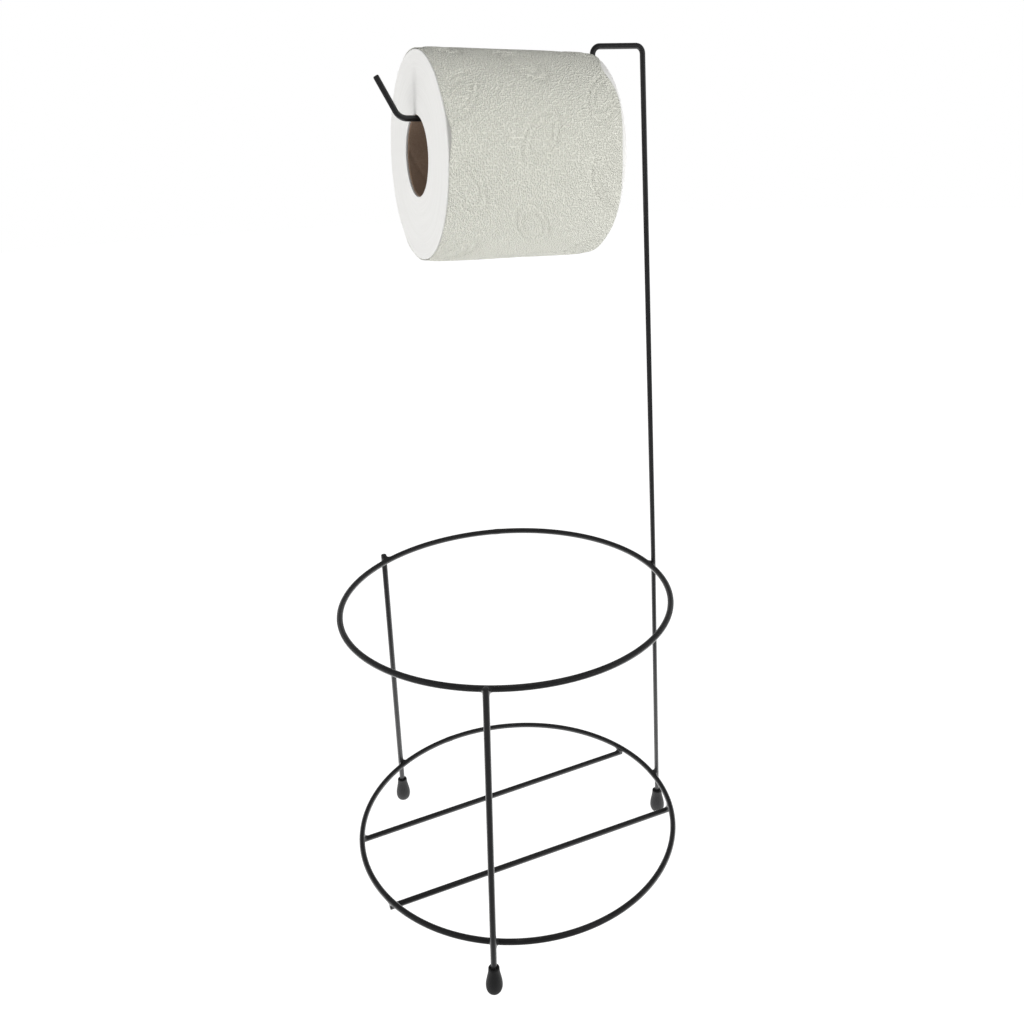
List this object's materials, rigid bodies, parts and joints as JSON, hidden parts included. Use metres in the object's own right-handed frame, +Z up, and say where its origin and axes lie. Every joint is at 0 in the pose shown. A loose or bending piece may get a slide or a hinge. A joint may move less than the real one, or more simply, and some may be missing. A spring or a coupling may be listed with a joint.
{
  "type": "toilet paper holder",
  "caption": "Free-standing black wire toilet paper holder: a tall post bent into a hook arm carries a paper roll above an open ring basket for spare rolls, on rubber feet.",
  "frame": {"origin": "middle of the footprint, on the floor plane that the rubber feet stand on", "axes": "+Z up, +X from the basket towards the tall post, and the hook's arm reaches back towards -X in the plane Y = 0"},
  "size_m": [0.238, 0.23, 0.5511],
  "materials": {
    "black_wire": "satin",
    "black_rubber": "matte",
    "white_tissue": "matte",
    "brown_card": "matte"
  },
  "bodies": {
    "stand": {"upper_ring": "black_wire", "lower_ring": "black_wire", "rear_crossbar": "black_wire", "front_crossbar": "black_wire", "left_leg": "black_wire", "front_leg": "black_wire", "post_and_arm": "black_wire", "left_foot": "black_rubber", "front_foot": "black_rubber", "post_foot": "black_rubber", "weld_left_upper": "black_wire", "weld_left_lower": "black_wire", "weld_front_upper": "black_wire", "weld_front_lower": "black_wire", "weld_post_upper": "black_wire", "weld_post_lower": "black_wire", "weld_rear_crossbar_left": "black_wire", "weld_rear_crossbar_right": "black_wire", "weld_front_crossbar_left": "black_wire", "weld_front_crossbar_right": "black_wire"},
    "roll": {"roll_core": "brown_card", "paper_roll": "white_tissue"}
  },
  "joints": [
    {"name": "roll_spin", "type": "hinge", "parent": "stand", "child": "roll", "pos_m": [0.00902, 0, 0.49379], "axis": [-0.9991, 0, 0.0419], "continuous": true}
  ]
}
